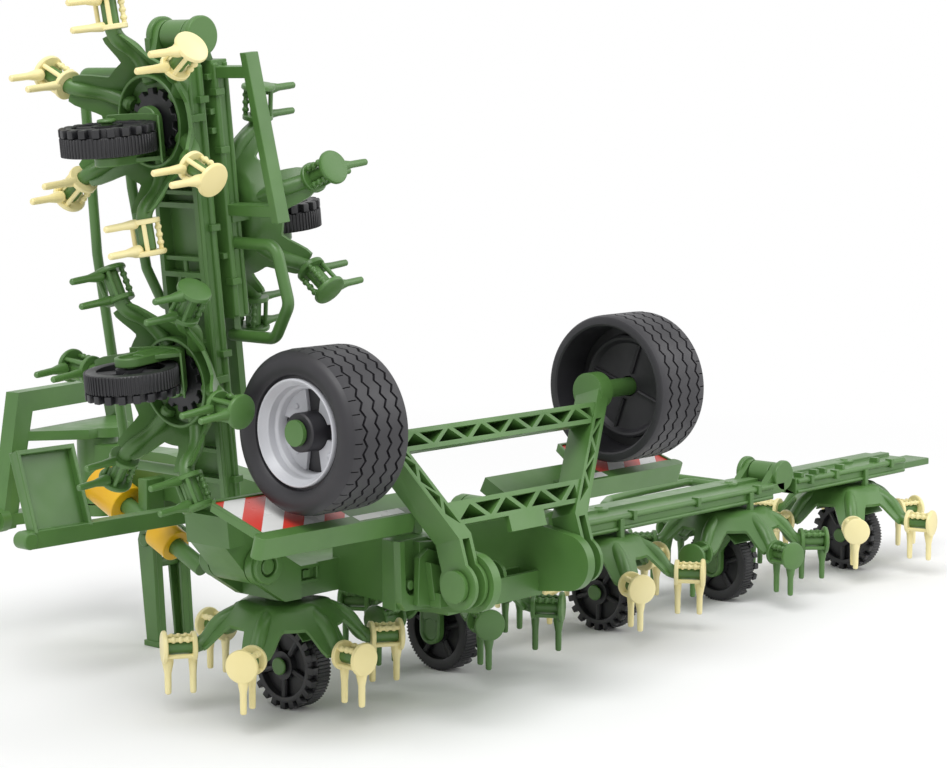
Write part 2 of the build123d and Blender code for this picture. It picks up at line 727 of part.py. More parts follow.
with BuildPart() as chassis:
    for side in (-1, 1):
        with BuildSketch(chassis_plane.offset(-leg_w / 2)):
            with BuildLine():
                Polyline(
                    (side * lug_x, 0),
                    (side * lug_x, leg_straight),
                    (side * (leg_end_x - leg_t), chassis_reach),
                    (side * leg_end_x, chassis_reach),
                    (side * (lug_x + leg_t), leg_straight - 1),
                    (side * (lug_x + leg_t), 0),
                    close=True,
                )
            make_face()
        extrude(amount=leg_w)
        with BuildSketch(Plane(origin=chassis_plane.from_local_coords((side * lug_x, 0, 0)), z_dir=(side, 0, 0))):
            Circle(chassis_lug_r)
        extrude(amount=leg_t)
        with BuildSketch(
            Plane(
                origin=chassis_plane.from_local_coords((side * (leg_end_x - leg_t), chassis_reach, 0)),
                z_dir=(side, 0, 0),
            )
        ):
            Circle(leg_end_r)
        extrude(amount=leg_t)
        with BuildSketch(
            Plane(
                origin=chassis_plane.from_local_coords((side * leg_end_x, chassis_reach, 0)),
                z_dir=(side, 0, 0),
            )
        ):
            Circle(stub_r)
        extrude(amount=tyre_x + tyre_w / 2 - rim_web_from_face + running_gap + hub_w / 2 - leg_end_x)
        with BuildSketch(
            Plane(
                origin=chassis_plane.from_local_coords(
                    (
                        side * (tyre_x + tyre_w / 2 - rim_web_from_face + running_gap + hub_w / 2),
                        chassis_reach,
                        0,
                    )
                ),
                z_dir=(side, 0, 0),
            )
        ):
            Circle(stub_cap_r)
        extrude(amount=stub_cap_t)
    for low, high, bays in lattice_table:
        half = lug_x + leg_t / 2 + leg_slope * ((low + high) / 2 - leg_straight)
        with BuildSketch(chassis_plane.offset(-lattice_depth / 2)):
            with Locations((0, (low + high) / 2)):
                Rectangle(2 * half, high - low)
        extrude(amount=lattice_depth)
        with BuildSketch(chassis_plane.offset(lattice_depth / 2)):
            zigzag(
                Vector(-half + leg_t / 2, low + lattice_wall),
                Vector(2 * half - leg_t, 0),
                Vector(0, high - low - 2 * lattice_wall),
                bays,
            )
        extrude(amount=lattice_wall - lattice_depth, mode=Mode.SUBTRACT)
    for side in (-1, 1):
        pocket_run = Vector(side * leg_slope, 1) * (leg_pocket_to - leg_pocket_from)
        pocket_x = lug_x + leg_wall + leg_slope * (leg_pocket_from - leg_straight)
        with BuildSketch(chassis_plane.offset(leg_w / 2)):
            zigzag(
                Vector(side * pocket_x, leg_pocket_from),
                pocket_run,
                Vector(side * (leg_t - 2 * leg_wall), 0),
                leg_pocket_bays,
            )
        extrude(amount=-leg_pocket_depth, mode=Mode.SUBTRACT)
        with BuildSketch(chassis_plane.offset(leg_w / 2 + chassis_lug_r)):
            with Locations((side * (lug_x + leg_t / 2), (leg_straight - chassis_lug_r) / 2 - leg_wall)):
                Rectangle(leg_t - 2 * leg_wall, leg_straight + chassis_lug_r)
        extrude(amount=-leg_channel_depth - chassis_lug_r, mode=Mode.SUBTRACT)
    hanger_top = lattice_table[0][0]
    with BuildSketch(chassis_plane.offset(lattice_depth / 2 - hanger_t)):
        with Locations((sum(hanger_x) / 2, hanger_top - hanger_drop / 2 + lattice_wall / 2)):
            Rectangle(hanger_x[1] - hanger_x[0], hanger_drop + lattice_wall)
    extrude(amount=hanger_t)
    with BuildSketch(Plane(origin=chassis_plane.origin - Vector(lug_x + leg_t + 1, 0, 0), z_dir=(1, 0, 0))):
        Circle(chassis_pin_r + pin_fit)
    extrude(amount=2 * (lug_x + leg_t + 1), mode=Mode.SUBTRACT)
keep(chassis.part, "chassis")

# Transport wheels, which spin on the chassis' stubs
wheel_centre = chassis_plane.from_local_coords((0, chassis_reach, 0))
for side, name in ((-1, "left"), (1, "right")):
    wheel_plane = Plane(origin=(side * tyre_x, wheel_centre.Y, wheel_centre.Z), z_dir=(side, 0, 0))
    with BuildPart() as tyre:
        with BuildSketch(wheel_plane.offset(-tyre_w / 2)):
            Circle(tyre_r)
        extrude(amount=tyre_w)
        chamfer(tyre.edges().filter_by(GeomType.CIRCLE), tyre_shoulder / 2)
        for groove in tyre_groove_y:
            with BuildSketch(wheel_plane.offset(groove - tyre_groove_w / 2)):
                Circle(tyre_r + 1)
                Circle(tyre_r - tyre_groove_depth, mode=Mode.SUBTRACT)
            extrude(amount=tyre_groove_w, mode=Mode.SUBTRACT)
        with BuildSketch(wheel_plane.offset(-tyre_w / 2)):
            Circle(rim_r)
        extrude(amount=tyre_w, mode=Mode.SUBTRACT)
        with BuildSketch(wheel_plane.offset(tyre_w / 2 - tyre_wall)):
            Circle(tyre_r - tyre_wall)
            Circle(rim_r + tyre_wall / 2, mode=Mode.SUBTRACT)
        extrude(amount=tyre_wall - tyre_w, mode=Mode.SUBTRACT)
        with BuildSketch(wheel_plane.offset(tyre_w / 2 - rim_depth)):
            Circle(tyre_r - tyre_wall)
        extrude(amount=rim_depth - tyre_w, mode=Mode.SUBTRACT)
    keep(tyre.part, f"tyre_{name}")

    web_at = tyre_w / 2 - rim_web_from_face
    with BuildPart() as rim:
        with BuildSketch(wheel_plane.offset(tyre_w / 2 - rim_depth)):
            Circle(rim_r - seat_fit)
            Circle(rim_r - rim_t, mode=Mode.SUBTRACT)
        extrude(amount=rim_depth - 0.5)
        with BuildSketch(wheel_plane.offset(web_at - rim_web_t)):
            Circle(rim_r - rim_t / 2)
        extrude(amount=rim_web_t)
        with BuildSketch(wheel_plane.offset(web_at - hub_w / 2)):
            Circle(hub_r)
        extrude(amount=hub_w)
        with BuildSketch(wheel_plane.offset(web_at - hub_w / 2)):
            Circle(stub_r + pin_fit)
        extrude(amount=hub_w, mode=Mode.SUBTRACT)
    keep(rim.part, f"rim_{name}")

# Drawbar
with BuildPart() as drawbar:
    with BuildSketch(Plane.YZ.offset(-drawbar_half_w)):
        with BuildLine():
            Polyline(*[(y, z) for z, y in drawbar_outline], close=True)
        make_face()
    extrude(amount=2 * drawbar_half_w)
    with Locations((0, swivel_y, swivel_low)):
        Cylinder(swivel_r, swivel_high - swivel_low, align=(Align.CENTER, Align.CENTER, Align.MIN))
        Cylinder(
            swivel_pin_r + pin_fit,
            swivel_high - swivel_low,
            align=(Align.CENTER, Align.CENTER, Align.MIN),
            mode=Mode.SUBTRACT,
        )
    with BuildSketch(Plane.YZ.offset(-stand_lug_half_w)):
        with Locations((stand_y, stand_z)):
            Circle(stand_lug_r)
        with Locations((stand_y, (stand_z + swivel_low + 8) / 2)):
            Rectangle(2 * stand_lug_r, swivel_low + 8 - stand_z)
        with Locations((stand_y, stand_z)):
            Circle(stand_pin_r + pin_fit, mode=Mode.SUBTRACT)
    extrude(amount=2 * stand_lug_half_w)
keep(drawbar.part, "drawbar")

# Front boards, one each side of the drawbar
front_plane = Plane.XZ.offset(-front_y)
with BuildPart() as front_boards:
    for side in (-1, 1):
        with BuildSketch(front_plane):
            with BuildLine():
                Polyline(
                    (side * front_in_x, front_low_z),
                    (side * front_in_x, front_high_z),
                    (side * (front_out_x - front_corner), front_high_z),
                    (side * front_out_x, front_high_z - front_corner),
                    (side * front_out_x, front_low_z),
                    close=True,
                )
            make_face()
        extrude(amount=front_t)
        with BuildSketch(front_plane.offset(front_t)):
            with BuildLine() as border:
                Polyline(
                    (side * (front_in_x + front_border), front_low_z + front_border),
                    (side * (front_in_x + front_border), front_high_z - front_border),
                    (side * (front_out_x - front_corner - front_border / 2), front_high_z - front_border),
                    (side * (front_out_x - front_border), front_high_z - front_corner - front_border / 2),
                    (side * (front_out_x - front_border), front_low_z + front_border),
                    close=True,
                )
            make_face()
        extrude(amount=-front_border_h, mode=Mode.SUBTRACT)
        with Locations((side * (drawbar_half_w + front_in_x + front_border) / 2, front_y, front_arm_z)):
            Box(
                front_in_x + front_border - drawbar_half_w,
                front_arm_w,
                front_arm_h,
                align=(Align.CENTER, Align.MIN, Align.MIN),
            )
keep(front_boards.part, "front_boards")

# Headstock, turned on the swivel
head_plane_y = swivel_y + head_y
with BuildPart() as headstock:
    with BuildSketch(Plane.XZ.offset(-head_plane_y - head_t)):
        with BuildLine():
            Polyline(
                (-head_foot_half, head_low),
                (-head_top_half, head_high),
                (head_top_half, head_high),
                (head_foot_half, head_low),
                (head_foot_half - head_leg_w, head_low),
                (head_top_half - head_leg_w, head_high - head_leg_w),
                (-head_top_half + head_leg_w, head_high - head_leg_w),
                (-head_foot_half + head_leg_w, head_low),
                close=True,
            )
        make_face()
    extrude(amount=head_t)
    with BuildSketch(Plane.XY.offset(swivel_high + swivel_gap)):
        with BuildLine():
            Polyline(
                (-head_top_half + 2, head_plane_y + head_t / 2),
                (head_top_half - 2, head_plane_y + head_t / 2),
                (swivel_r + 4, swivel_y - 5),
                (-swivel_r - 4, swivel_y - 5),
                close=True,
            )
        make_face()
        with Locations((0, swivel_y - 3)):
            Circle(swivel_r)
    extrude(amount=head_plate_t)
    with BuildSketch(Plane.XY.offset(swivel_low - swivel_gap - head_tie_t)):
        with BuildLine():
            Polyline(
                (-head_foot_half + 3, head_plane_y + head_t / 2 + 2),
                (head_foot_half - 3, head_plane_y + head_t / 2 + 2),
                (head_foot_half - 3, head_plane_y + head_t / 2 - 2),
                (swivel_r, swivel_y),
                (-swivel_r, swivel_y),
                (-head_foot_half + 3, head_plane_y + head_t / 2 - 2),
                close=True,
            )
        make_face()
        with Locations((0, swivel_y)):
            Circle(swivel_r)
    extrude(amount=head_tie_t)
    with Locations((0, swivel_y, swivel_low - swivel_gap - head_tie_t / 2)):
        Cylinder(
            swivel_pin_r,
            swivel_high - swivel_low + 2 * swivel_gap + head_tie_t,
            align=(Align.CENTER, Align.CENTER, Align.MIN),
        )
    for side in (-1, 1):
        with BuildSketch(side_plane(side * (head_foot_half - head_leg_w / 2), side)):
            with Locations((side * (head_plane_y + head_t / 2), head_low + 3)):
                Circle(link_boss_r)
        extrude(amount=head_leg_w / 2 + link_boss_out)
        with BuildSketch(side_plane(side * (head_foot_half - head_leg_w / 2), side)):
            with Locations((side * (head_plane_y + head_t / 2), head_low + 3)):
                Circle(link_pin_r)
        extrude(amount=head_leg_w / 2 + link_pin_l)
keep(headstock.part.rotate(Axis((0, swivel_y, 0), (0, 0, 1)), head_yaw), "headstock")

# Stand
with BuildPart() as stand:
    for side in (-1, 1):
        with BuildSketch(side_plane(side * stand_in_x, side)):
            with BuildLine():
                Polyline(
                    (side * (stand_y - stand_leg_top / 2), stand_z),
                    (side * (stand_y + stand_leg_top / 2), stand_z),
                    (side * (stand_foot_y + stand_leg_low / 2), 0),
                    (side * (stand_foot_y - stand_leg_low / 2), 0),
                    close=True,
                )
            make_face()
            with Locations((side * stand_y, stand_z)):
                Circle(stand_leg_top / 2)
        extrude(amount=stand_leg_t)
        with Locations((side * (stand_in_x + stand_leg_t / 2), stand_foot_y, 0)):
            Box(stand_leg_t + 2, stand_foot_l, stand_foot_t, align=(Align.CENTER, Align.CENTER, Align.MIN))
    with BuildSketch(side_plane(-stand_in_x - 1)):
        with Locations((stand_y, stand_z)):
            Circle(stand_pin_r)
        with Locations((stand_y + (stand_foot_y - stand_y) * stand_bar_drop / stand_z, stand_z - stand_bar_drop)):
            Circle(stand_bar_r)
    extrude(amount=2 * stand_in_x + 2)
keep(stand.part, "stand")

# Drive line and its guards
rear_point = Vector(drive_x, *drive_rear)
front_point = Vector(drive_x, *drive_front)
drive_way = (front_point - rear_point).normalized()
drive_length = (front_point - rear_point).length
with BuildPart() as drive_shaft:
    with BuildSketch(Plane(origin=rear_point, z_dir=drive_way)):
        Circle(drive_r)
    extrude(amount=drive_length)
    with Locations(rear_point + drive_way * drive_length * drive_bracket_at):
        Box(
            -drive_x - drawbar_half_w,
            drive_bracket_w,
            drive_bracket_h,
            align=(Align.MIN, Align.CENTER, Align.MIN),
        )
keep(drive_shaft.part, "drive_shaft")

with BuildPart() as drive_guards:
    for at, length, r in (
        (drive_length - guard_front_l, guard_front_l, guard_r),
        (guard_rear_at, guard_rear_l, guard_rear_r),
    ):
        with BuildSketch(Plane(origin=rear_point + drive_way * at, z_dir=drive_way)):
            Circle(r)
            Circle(drive_r + seat_fit, mode=Mode.SUBTRACT)
        extrude(amount=length)
keep(drive_guards.part, "drive_guards")

# Rams
with BuildPart() as rams:
    with BuildSketch(Plane(origin=(0, -beam_w / 2, chassis_ram_z), z_dir=(0, -1, 0))):
        Circle(chassis_ram_r)
    extrude(amount=-rear_member_y - rear_member_w / 2 - beam_w / 2)
keep(rams.part, "rams")

# Origin: on the floor under the middle of the whole machine
boxes = [piece.bounding_box() for piece in pieces]
origin = Vector(
    (min(box.min.X for box in boxes) + max(box.max.X for box in boxes)) / 2,
    (min(box.min.Y for box in boxes) + max(box.max.Y for box in boxes)) / 2,
    min(box.min.Z for box in boxes),
)
for piece in pieces:
    name = piece.label
    placed = piece.translate(-origin)
    placed.label = name
    export_step(placed, f"parts/{name}.step")
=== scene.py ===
import bmesh
import bpy
import json
from math import cos, exp, pi, radians, sin
from mathutils import Matrix, Vector

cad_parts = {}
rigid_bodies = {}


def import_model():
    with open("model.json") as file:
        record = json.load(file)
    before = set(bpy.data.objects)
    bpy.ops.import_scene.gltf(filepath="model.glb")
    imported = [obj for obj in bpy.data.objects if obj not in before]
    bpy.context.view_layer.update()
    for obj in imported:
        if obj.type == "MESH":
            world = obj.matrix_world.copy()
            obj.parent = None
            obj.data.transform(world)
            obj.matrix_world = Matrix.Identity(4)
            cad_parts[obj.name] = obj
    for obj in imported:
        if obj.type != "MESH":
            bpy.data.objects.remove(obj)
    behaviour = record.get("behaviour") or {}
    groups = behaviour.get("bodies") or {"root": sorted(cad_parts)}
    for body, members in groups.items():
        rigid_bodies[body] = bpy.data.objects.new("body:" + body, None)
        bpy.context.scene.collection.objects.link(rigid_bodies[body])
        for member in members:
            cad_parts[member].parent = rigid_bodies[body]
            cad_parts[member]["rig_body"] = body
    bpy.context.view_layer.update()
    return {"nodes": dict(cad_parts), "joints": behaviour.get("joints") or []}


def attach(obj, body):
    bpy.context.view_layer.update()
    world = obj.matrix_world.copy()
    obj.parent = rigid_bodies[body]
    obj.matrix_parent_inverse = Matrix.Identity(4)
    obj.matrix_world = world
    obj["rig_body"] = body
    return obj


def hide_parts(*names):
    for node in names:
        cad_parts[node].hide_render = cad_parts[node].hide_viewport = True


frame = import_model()

# Rotor domes with their arms. Each is one moulding of satin green ABS: a thin umbrella with six
# lobes that run out over the arms, and a low boss on top where the beam's pin goes through. It is
# drawn once, in millimetres from the floor under its pin, and set down in the eight units.


def linear(colour):
    """A colour written as sRGB hex, in Blender's linear values."""
    channels = [int(colour[k:k + 2], 16) / 255 for k in (1, 3, 5)]
    return (*[c / 12.92 if c <= 0.04045 else ((c + 0.055) / 1.055) ** 2.4 for c in channels], 1.0)


def add_node(tree, kind, sockets=None, **settings):
    """Adds a node with its settings, and its sockets' values or links."""
    added = tree.nodes.new(kind)
    for name, value in settings.items():
        setattr(added, name, value)
    for name, value in (sockets or {}).items():
        if isinstance(value, bpy.types.NodeSocket):
            tree.links.new(value, added.inputs[name])
        else:
            added.inputs[name].default_value = value
    return added


def moulded(name, colour, shade, roughness, grain=0.05):
    """Injection-moulded plastic: the tone drifts over some 22 mm with the flow of the melt, and
    handling has left patches of about 6 mm smoother than others. The mould's spark texture breaks
    up the gloss. It is finer than the render can show, so it is drawn 0.4 mm wide; grain is its
    depth in millimetres."""
    made = bpy.data.materials.new(name)
    made.use_nodes = True
    tree = made.node_tree
    tree.nodes.clear()
    where = add_node(tree, "ShaderNodeTexCoord").outputs["Object"]
    flow = add_node(tree, "ShaderNodeTexNoise", {"Vector": where, "Scale": 45.0, "Detail": 3.0})
    tone = add_node(tree, "ShaderNodeValToRGB", {"Fac": flow.outputs["Fac"]})
    tone.color_ramp.elements[0].position = 0.35
    tone.color_ramp.elements[0].color = linear(shade)
    tone.color_ramp.elements[1].position = 0.62
    tone.color_ramp.elements[1].color = linear(colour)
    handled = add_node(tree, "ShaderNodeTexNoise", {"Vector": where, "Scale": 160.0, "Detail": 2.0})
    gloss = add_node(tree, "ShaderNodeMapRange", {
        "Value": handled.outputs["Fac"], "From Min": 0.3, "From Max": 0.7,
        "To Min": roughness - 0.05, "To Max": roughness + 0.07})
    spark = add_node(tree, "ShaderNodeTexNoise", {"Vector": where, "Scale": 2600.0, "Detail": 2.0})
    relief = add_node(tree, "ShaderNodeBump", {
        "Height": spark.outputs["Fac"], "Strength": 0.25, "Distance": grain / 1000})
    shader = add_node(tree, "ShaderNodeBsdfPrincipled", {
        "Base Color": tone.outputs["Color"], "Roughness": gloss.outputs["Result"], "IOR": 1.53,
        "Normal": relief.outputs["Normal"]})
    add_node(tree, "ShaderNodeOutputMaterial", {"Surface": shader.outputs["BSDF"]})
    return made


# ABS dyed in the mass: a muted green all through, with wide soft highlights.
green_abs = moulded("green_abs", "#527A3C", "#4A7037", 0.37)


def turned(mesh, profile, middle, axis, segments):
    """A solid of revolution: profile is (radius, distance along the axis) from one end to the other."""
    turn_to = Vector((0, 0, 1)).rotation_difference(Vector(axis)).to_matrix()
    rings = []
    for radius, along in profile:
        if radius == 0:
            rings.append([mesh.verts.new(turn_to @ Vector((0, 0, along)) + Vector(middle))])
        else:
            rings.append([
                mesh.verts.new(turn_to @ Vector((
                    radius * cos(2 * pi * k / segments), radius * sin(2 * pi * k / segments), along))
                    + Vector(middle))
                for k in range(segments)])
    for low, high in zip(rings, rings[1:]):
        for k in range(segments):
            after = (k + 1) % segments
            corners = [low[k % len(low)], low[after % len(low)],
                       high[after % len(high)], high[k % len(high)]]
            mesh.faces.new(list(dict.fromkeys(corners)))


def rod(mesh, points, radius, segments=16, ends=0.35):
    """A round bar along a line of points, with softly rounded ends."""
    points = [Vector(point) for point in points]
    if not isinstance(radius, (list, tuple)):
        radius = [radius] * len(points)
    ways = [(b - a).normalized() for a, b in zip(points, points[1:])]
    ways = [ways[0]] + [(a + b).normalized() for a, b in zip(ways, ways[1:])] + [ways[-1]]
    start, end = points[0], points[-1]
    points = [start, start + ways[0] * ends * radius[0]] + points[1:-1]
    points += [end - ways[-1] * ends * radius[-1], end]
    radius = [radius[0] * 0.72, radius[0]] + list(radius[1:-1]) + [radius[-1], radius[-1] * 0.72]
    ways = [ways[0], ways[0]] + ways[1:-1] + [ways[-1], ways[-1]]
    across = ways[0].orthogonal().normalized()
    rings = []
    for point, way, r in zip(points, ways, radius):
        across = (across - way * across.dot(way)).normalized()
        over = way.cross(across)
        rings.append([
            mesh.verts.new(point + across * r * cos(2 * pi * k / segments)
                           + over * r * sin(2 * pi * k / segments))
            for k in range(segments)])
    for low, high in zip(rings, rings[1:]):
        for k in range(segments):
            after = (k + 1) % segments
            mesh.faces.new((low[k], low[after], high[after], high[k]))
    mesh.faces.new(rings[0][::-1])
    mesh.faces.new(rings[-1])


def rounded(corners, radius, steps=5):
    """The points of a line with its corners rounded."""
    corners = [Vector(corner) for corner in corners]
    line = [corners[0]]
    for before, corner, after in zip(corners, corners[1:], corners[2:]):
        back, on = (before - corner), (after - corner)
        cut = min(radius, 0.48 * back.length, 0.48 * on.length)
        a, b = corner + back.normalized() * cut, corner + on.normalized() * cut
        for k in range(steps + 1):
            t = k / steps
            line.append(a * (1 - t) ** 2 + corner * 2 * t * (1 - t) + b * t ** 2)
    return line + [corners[-1]]


def joint(name):
    """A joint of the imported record."""
    return next(found for found in frame["joints"] if found["name"] == name)


dome_top_z = 32.0
in_metres = Matrix.Scale(0.001, 4)


def unit_place(number):
    """Where a rotor's unit stands at rest: its pin is its Z, its wheel's axle its X."""
    pin = joint(f"rotor_{number}_turn")
    up = Vector(pin["axis"])
    across = Vector(joint(f"ground_wheel_{number}_turn")["axis"])
    place = Matrix((across, up.cross(across), up)).transposed().to_4x4()
    place.translation = Vector(pin["pos_m"]) - up * dome_top_z / 1000
    return place @ in_metres


def put_in_scene(name, data):
    """An object of a mesh, lamp or camera, in the scene."""
    made = bpy.data.objects.new(name, data)
    bpy.context.scene.collection.objects.link(made)
    return made


def settle(mesh, name, finish_of, body, stands_for=(), smooth=35.0, bevel=0.0):
    """Makes one piece of a mesh that is in its place, with the mould's soft edges where a bevel width is
    given, riding on its body.
    """
    data = bpy.data.meshes.new(name)
    mesh.to_mesh(data)
    mesh.free()
    for material in finish_of if isinstance(finish_of, (list, tuple)) else [finish_of]:
        data.materials.append(material)
    data.shade_smooth()
    data.set_sharp_from_angle(angle=radians(smooth))
    piece = put_in_scene(name, data)
    if bevel:
        soft = piece.modifiers.new("soft_edges", "BEVEL")
        soft.width = bevel / 1000
        soft.segments = 2
        soft.limit_method = "ANGLE"
        soft.angle_limit = radians(32)
        soft.use_clamp_overlap = True
    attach(piece, body)
    if stands_for:
        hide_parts(*stands_for)


def finish(mesh, name, finish_of, body, place, stands_for=(), smooth=35.0, bevel=0.0):
    """Closes a mesh drawn in millimetres, sets it down in the machine and makes it a piece."""
    bmesh.ops.remove_doubles(mesh, verts=mesh.verts, dist=0.001)
    bmesh.ops.recalc_face_normals(mesh, faces=mesh.faces)
    mesh.transform(place)
    settle(mesh, name, finish_of, body, stands_for, smooth, bevel)


# First arm's bearing in degrees, and which way the ground wheel faces, for each of the eight units.
first_arms = (51.0, 54.0, 36.0, 27.0, 2.0, 3.0, 16.0, 42.0)
sides = (-1, 1, -1, 1, -1, 1, -1, 1)
arm_count = 6
arm_spacing = 360 // arm_count
holder_z = 19.4
arm_r = 2.1
arm_line = [(9.5, 0, 29.2), (12.4, 0, 28.7), (18.5, 0, 25.9), (22.2, 0, holder_z), (33.0, 0, holder_z)]
arm_bend_r = 4.0
dome_sheet = 1.2
dome_inner_r = 4.6
rim_draw_in = 0.2
dome_turns = 144
dome_steps = 22
boss_profile = [(2.5, 29.8), (4.4, 29.8), (4.4, 31.6), (5.0, 31.7), (5.0, 32.3), (4.7, 32.5), (2.5, 32.5),
                (2.5, 29.8)]
collar_profile = [(11.3, 29.6), (11.3, 26.4), (11.5, 26.2), (12.0, 26.2), (12.2, 26.4), (12.3, 29.4),
                  (11.3, 29.6)]


def step(value, low, high):
    """0 below low, 1 above high, and smooth between them."""
    t = min(max((value - low) / (high - low), 0), 1)
    return t * t * (3 - 2 * t)


def dome_rim(turn):
    """How far the umbrella reaches at a turn from the nearest arm, in degrees."""
    valley_r, lobe = 17.0, 6.2
    return valley_r + lobe * step(20 - abs(turn), 0, 12)


def dome_height(r, turn):
    """Height of the umbrella's upper face. Each arm lifts it into a soft ridge."""
    slope, curve, ridge_h, ridge_w = 0.66, 0.012, 1.1, 3.0
    fall = 0.55 * step(r, 5, 13) + 1.1 * max(r - 9, 0) / 4 * step(r, 9, 13)
    fall += slope * max(r - 13, 0) + curve * max(r - 13, 0) ** 2
    ridge = exp(-(r * sin(radians(turn)) / ridge_w) ** 2) * step(r, 8, 13)
    return dome_top_z - fall + ridge_h * ridge - 0.5


for number, first_arm in enumerate(first_arms, start=1):
    rotor = bmesh.new()
    sheets = []
    for drop in (0.0, dome_sheet):
        sheet = []
        for j in range(dome_turns):
            turn = (j * 360 / dome_turns - first_arm + arm_spacing / 2) % arm_spacing - arm_spacing / 2
            row = []
            for i in range(dome_steps + 1):
                r = dome_inner_r + (dome_rim(turn) - drop * rim_draw_in - dome_inner_r) * i / dome_steps
                bearing = radians(j * 360 / dome_turns)
                row.append(rotor.verts.new((r * cos(bearing), r * sin(bearing), dome_height(r, turn) - drop)))
            sheet.append(row)
        sheets.append(sheet)
    for j in range(dome_turns):
        after = (j + 1) % dome_turns
        for sheet in sheets:
            for i in range(dome_steps):
                rotor.faces.new((sheet[j][i], sheet[after][i], sheet[after][i + 1], sheet[j][i + 1]))
        for i in (0, dome_steps):
            rotor.faces.new((sheets[0][j][i], sheets[0][after][i], sheets[1][after][i], sheets[1][j][i]))
    turned(rotor, boss_profile, (0, 0, 0), (0, 0, 1), 48)
    turned(rotor, collar_profile, (0, 0, 0), (0, 0, 1), 72)
    for k in range(arm_count):
        bearing = Matrix.Rotation(radians(first_arm + arm_spacing * k), 3, "Z")
        rod(rotor, [bearing @ point for point in rounded(arm_line, arm_bend_r)], arm_r, segments=18)
    finish(rotor, f"dome_and_arms_{number}", green_abs, f"rotor_{number}", unit_place(number),
           [f"rotor_{number}"])

# Tine holders, six to a rotor, cream on every second rotor and green on the others. Each is one
# glossy moulding: a cap over the arm's end, a ring further in, bars between them with three beads
# on the upper ones, and two tines that hang straight down, the outer one from a wide neck.


def copies_round(mesh, name, count, first, finish_of):
    """Geometry Nodes: sets a pattern down again and again round its Z axis, as one plain mesh."""
    data = bpy.data.meshes.new(name)
    bmesh.ops.remove_doubles(mesh, verts=mesh.verts, dist=0.001)
    bmesh.ops.recalc_face_normals(mesh, faces=mesh.faces)
    mesh.to_mesh(data)
    mesh.free()
    pattern = put_in_scene(name, data)
    tree = bpy.data.node_groups.new(name + "_round", "GeometryNodeTree")
    for socket, kind, way in (("Geometry", "NodeSocketGeometry", "INPUT"),
                              ("Copies", "NodeSocketInt", "INPUT"),
                              ("First", "NodeSocketFloat", "INPUT"),
                              ("Geometry", "NodeSocketGeometry", "OUTPUT")):
        tree.interface.new_socket(name=socket, in_out=way, socket_type=kind)
    given = add_node(tree, "NodeGroupInput")
    points = add_node(tree, "GeometryNodePoints", {"Count": given.outputs["Copies"]})
    share = add_node(tree, "ShaderNodeMath", {0: 2 * pi, 1: given.outputs["Copies"]}, operation="DIVIDE")
    turn = add_node(tree, "ShaderNodeMath", {
        0: add_node(tree, "GeometryNodeInputIndex").outputs[0], 1: share.outputs[0],
        2: given.outputs["First"]}, operation="MULTIPLY_ADD")
    facing = add_node(tree, "ShaderNodeCombineXYZ", {"Z": turn.outputs[0]})
    placed = add_node(tree, "GeometryNodeInstanceOnPoints", {
        "Points": points.outputs[0], "Instance": given.outputs["Geometry"],
        "Rotation": facing.outputs[0]})
    real = add_node(tree, "GeometryNodeRealizeInstances", {"Geometry": placed.outputs[0]})
    finished = add_node(tree, "GeometryNodeSetMaterial", {
        "Geometry": real.outputs[0], "Material": finish_of})
    add_node(tree, "NodeGroupOutput", {"Geometry": finished.outputs[0]})
    rule = pattern.modifiers.new("round", "NODES")
    rule.node_group = tree
    for socket in tree.interface.items_tree:
        if socket.name == "Copies":
            rule[socket.identifier] = count
        elif socket.name == "First":
            rule[socket.identifier] = radians(first)
    bpy.context.view_layer.update()
    evaluated = pattern.evaluated_get(bpy.context.evaluated_depsgraph_get())
    plain = bpy.data.meshes.new_from_object(evaluated)
    bpy.data.objects.remove(pattern)
    return plain


# The same ABS left undyed but for a little yellow: a warm cream that shades softly.
cream_abs = moulded("cream_abs", "#F4E8B0", "#EEDF9F", 0.36)
tine_low_z = 6.2
cap_profile = [(0, 34.0), (3.9, 34.0), (4.4, 33.8), (4.6, 33.4), (4.6, 32.9), (4.3, 32.6), (0, 32.6)]
ring_profile = [(2.12, 24.4), (3.9, 24.4), (4.1, 24.6), (4.1, 25.5), (3.9, 25.7), (2.12, 25.7), (2.12, 24.4)]
bead_profile = [(0, -0.85), (0.5, -0.75), (0.9, -0.3), (0.95, 0), (0.9, 0.3), (0.5, 0.75), (0, 0.85)]
cage_r = 3.3
cage_bar_r = 0.62
tine_necks = ((32.3, 1.6), (25.35, 1.25))
tine_heights = (holder_z - 2.6, holder_z - 4.2, holder_z - 7.4, tine_low_z + 2, tine_low_z)
tine_radii = (0.98, 0.95, 0.88)
for number, first_arm in enumerate(first_arms, start=1):
    plastic, slot = (green_abs, "tine_green") if number % 2 else (cream_abs, "tine_cream")
    holder = bmesh.new()
    turned(holder, cap_profile, (0, 0, holder_z), (1, 0, 0), 36)
    turned(holder, ring_profile, (0, 0, holder_z), (1, 0, 0), 32)
    for turn in (45, 135, 225, 315):
        y, z = cage_r * cos(radians(turn)), cage_r * sin(radians(turn))
        rod(holder, [(25.0, y, holder_z + z), (33.0, y, holder_z + z)], cage_bar_r, segments=10)
        if z > 0:
            for bead_x in (27.0, 29.0, 31.0):
                turned(holder, bead_profile, (bead_x, y, holder_z + z), (1, 0, 0), 12)
    for x, neck_r in tine_necks:
        rod(holder, [(x, 0, z) for z in tine_heights], [neck_r, neck_r, *tine_radii], segments=14)
    tines = bmesh.new()
    tines.from_mesh(copies_round(holder, f"tine_pattern_{number}", arm_count, first_arm, plastic))
    finish(tines, f"tine_holders_{number}", plastic, f"rotor_{number}", unit_place(number),
           [f"tines_{number}"])

